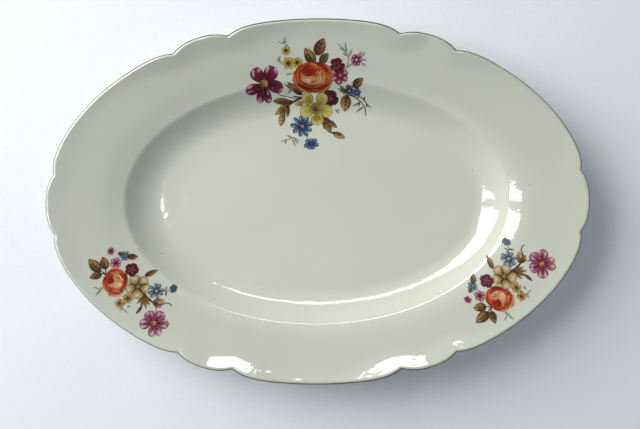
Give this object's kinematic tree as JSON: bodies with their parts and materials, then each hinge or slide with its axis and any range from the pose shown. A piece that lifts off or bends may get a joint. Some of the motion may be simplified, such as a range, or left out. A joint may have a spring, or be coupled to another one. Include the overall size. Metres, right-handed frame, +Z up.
{
  "type": "serving platter",
  "caption": "Oval porcelain serving platter with a wide lobed rim, a shallow well, a foot ring, a thin gilt edge line and enamel flower sprays on the rim.",
  "frame": {"origin": "middle of the flat underside of the foot ring, at the centre of the object's lowest face", "axes": "+Z up with the platter lying the right way up, +X along its long axis, +Y towards the head of the platter, where the large spray crosses from the rim into the well"},
  "size_m": [0.36, 0.2418, 0.0329],
  "materials": {
    "glazed_porcelain": "high gloss clear glaze over a pale greenish ivory porcelain, with a few dark pinholes, and a bare matt foot ring",
    "worn_gilding": "thin burnished gold line, worn through in places and brown where it is thin",
    "enamel_blue": "fired on-glaze enamel, deep blue, semi-gloss, with painted shading",
    "enamel_brown": "fired on-glaze enamel, leaf brown, semi-gloss, with painted shading",
    "enamel_coral": "fired on-glaze enamel, coral orange, semi-gloss, with painted shading",
    "enamel_grey": "fired on-glaze enamel, grey green, semi-gloss, with painted shading",
    "enamel_lime": "fired on-glaze enamel, yellow green, semi-gloss, with painted shading",
    "enamel_olive": "fired on-glaze enamel, olive brown, semi-gloss, with painted shading",
    "enamel_plum": "fired on-glaze enamel, deep magenta plum, semi-gloss, with painted shading",
    "enamel_rose": "fired on-glaze enamel, soft pink purple, semi-gloss, with painted shading",
    "enamel_slate": "fired on-glaze enamel, slate blue, semi-gloss, with painted shading",
    "enamel_straw": "fired on-glaze enamel, straw beige, semi-gloss, with painted shading",
    "enamel_tan": "fired on-glaze enamel, ochre tan, semi-gloss, with painted shading",
    "enamel_wine": "fired on-glaze enamel, dark wine red, semi-gloss, with painted shading",
    "enamel_yellow": "fired on-glaze enamel, ochre yellow, semi-gloss, with painted shading"
  },
  "bodies": {
    "root": {"platter_body": "glazed_porcelain", "gilt_edge_line": "worn_gilding", "head_rose": "enamel_coral", "head_cosmos": "enamel_plum", "head_lime_bloom": "enamel_lime", "head_blue_daisy": "enamel_blue", "head_wine_flower_upper": "enamel_wine", "head_pink_flower": "enamel_rose", "head_wine_flower_lower": "enamel_wine", "head_magenta_flower": "enamel_rose", "head_blue_floret": "enamel_blue", "head_blue_buds": "enamel_blue", "head_yellow_floret": "enamel_yellow", "head_yellow_pair": "enamel_yellow", "head_leaf_left_of_crown": "enamel_brown", "head_leaf_crown": "enamel_brown", "head_leaf_right_of_crown": "enamel_olive", "head_leaf_far_right": "enamel_olive", "head_leaf_ochre": "enamel_tan", "head_leaf_west": "enamel_olive", "head_leaf_spray_west": "enamel_tan", "head_leaf_spray_east": "enamel_brown", "head_twig": "enamel_olive", "head_sprig_northwest": "enamel_grey", "head_sprig_northeast": "enamel_grey", "head_sprig_south": "enamel_grey", "left_rose": "enamel_coral", "left_cosmos": "enamel_rose", "left_straw_bloom": "enamel_straw", "left_blue_flower": "enamel_slate", "left_wine_flower": "enamel_wine", "left_pink_flower": "enamel_rose", "left_slate_floret": "enamel_slate", "left_leaves": "enamel_brown", "left_leaf_outer": "enamel_brown", "left_ochre_florets": "enamel_tan", "left_leaf_fan": "enamel_brown", "left_blue_bud": "enamel_slate", "right_rose": "enamel_coral", "right_cosmos": "enamel_rose", "right_straw_bloom": "enamel_straw", "right_blue_flower": "enamel_slate", "right_wine_flower": "enamel_wine", "right_pink_flower": "enamel_rose", "right_slate_floret": "enamel_slate", "right_leaves": "enamel_brown", "right_leaf_outer": "enamel_brown", "right_ochre_florets": "enamel_tan", "right_leaf_fan": "enamel_brown", "right_blue_bud": "enamel_slate"}
  },
  "joints": []
}
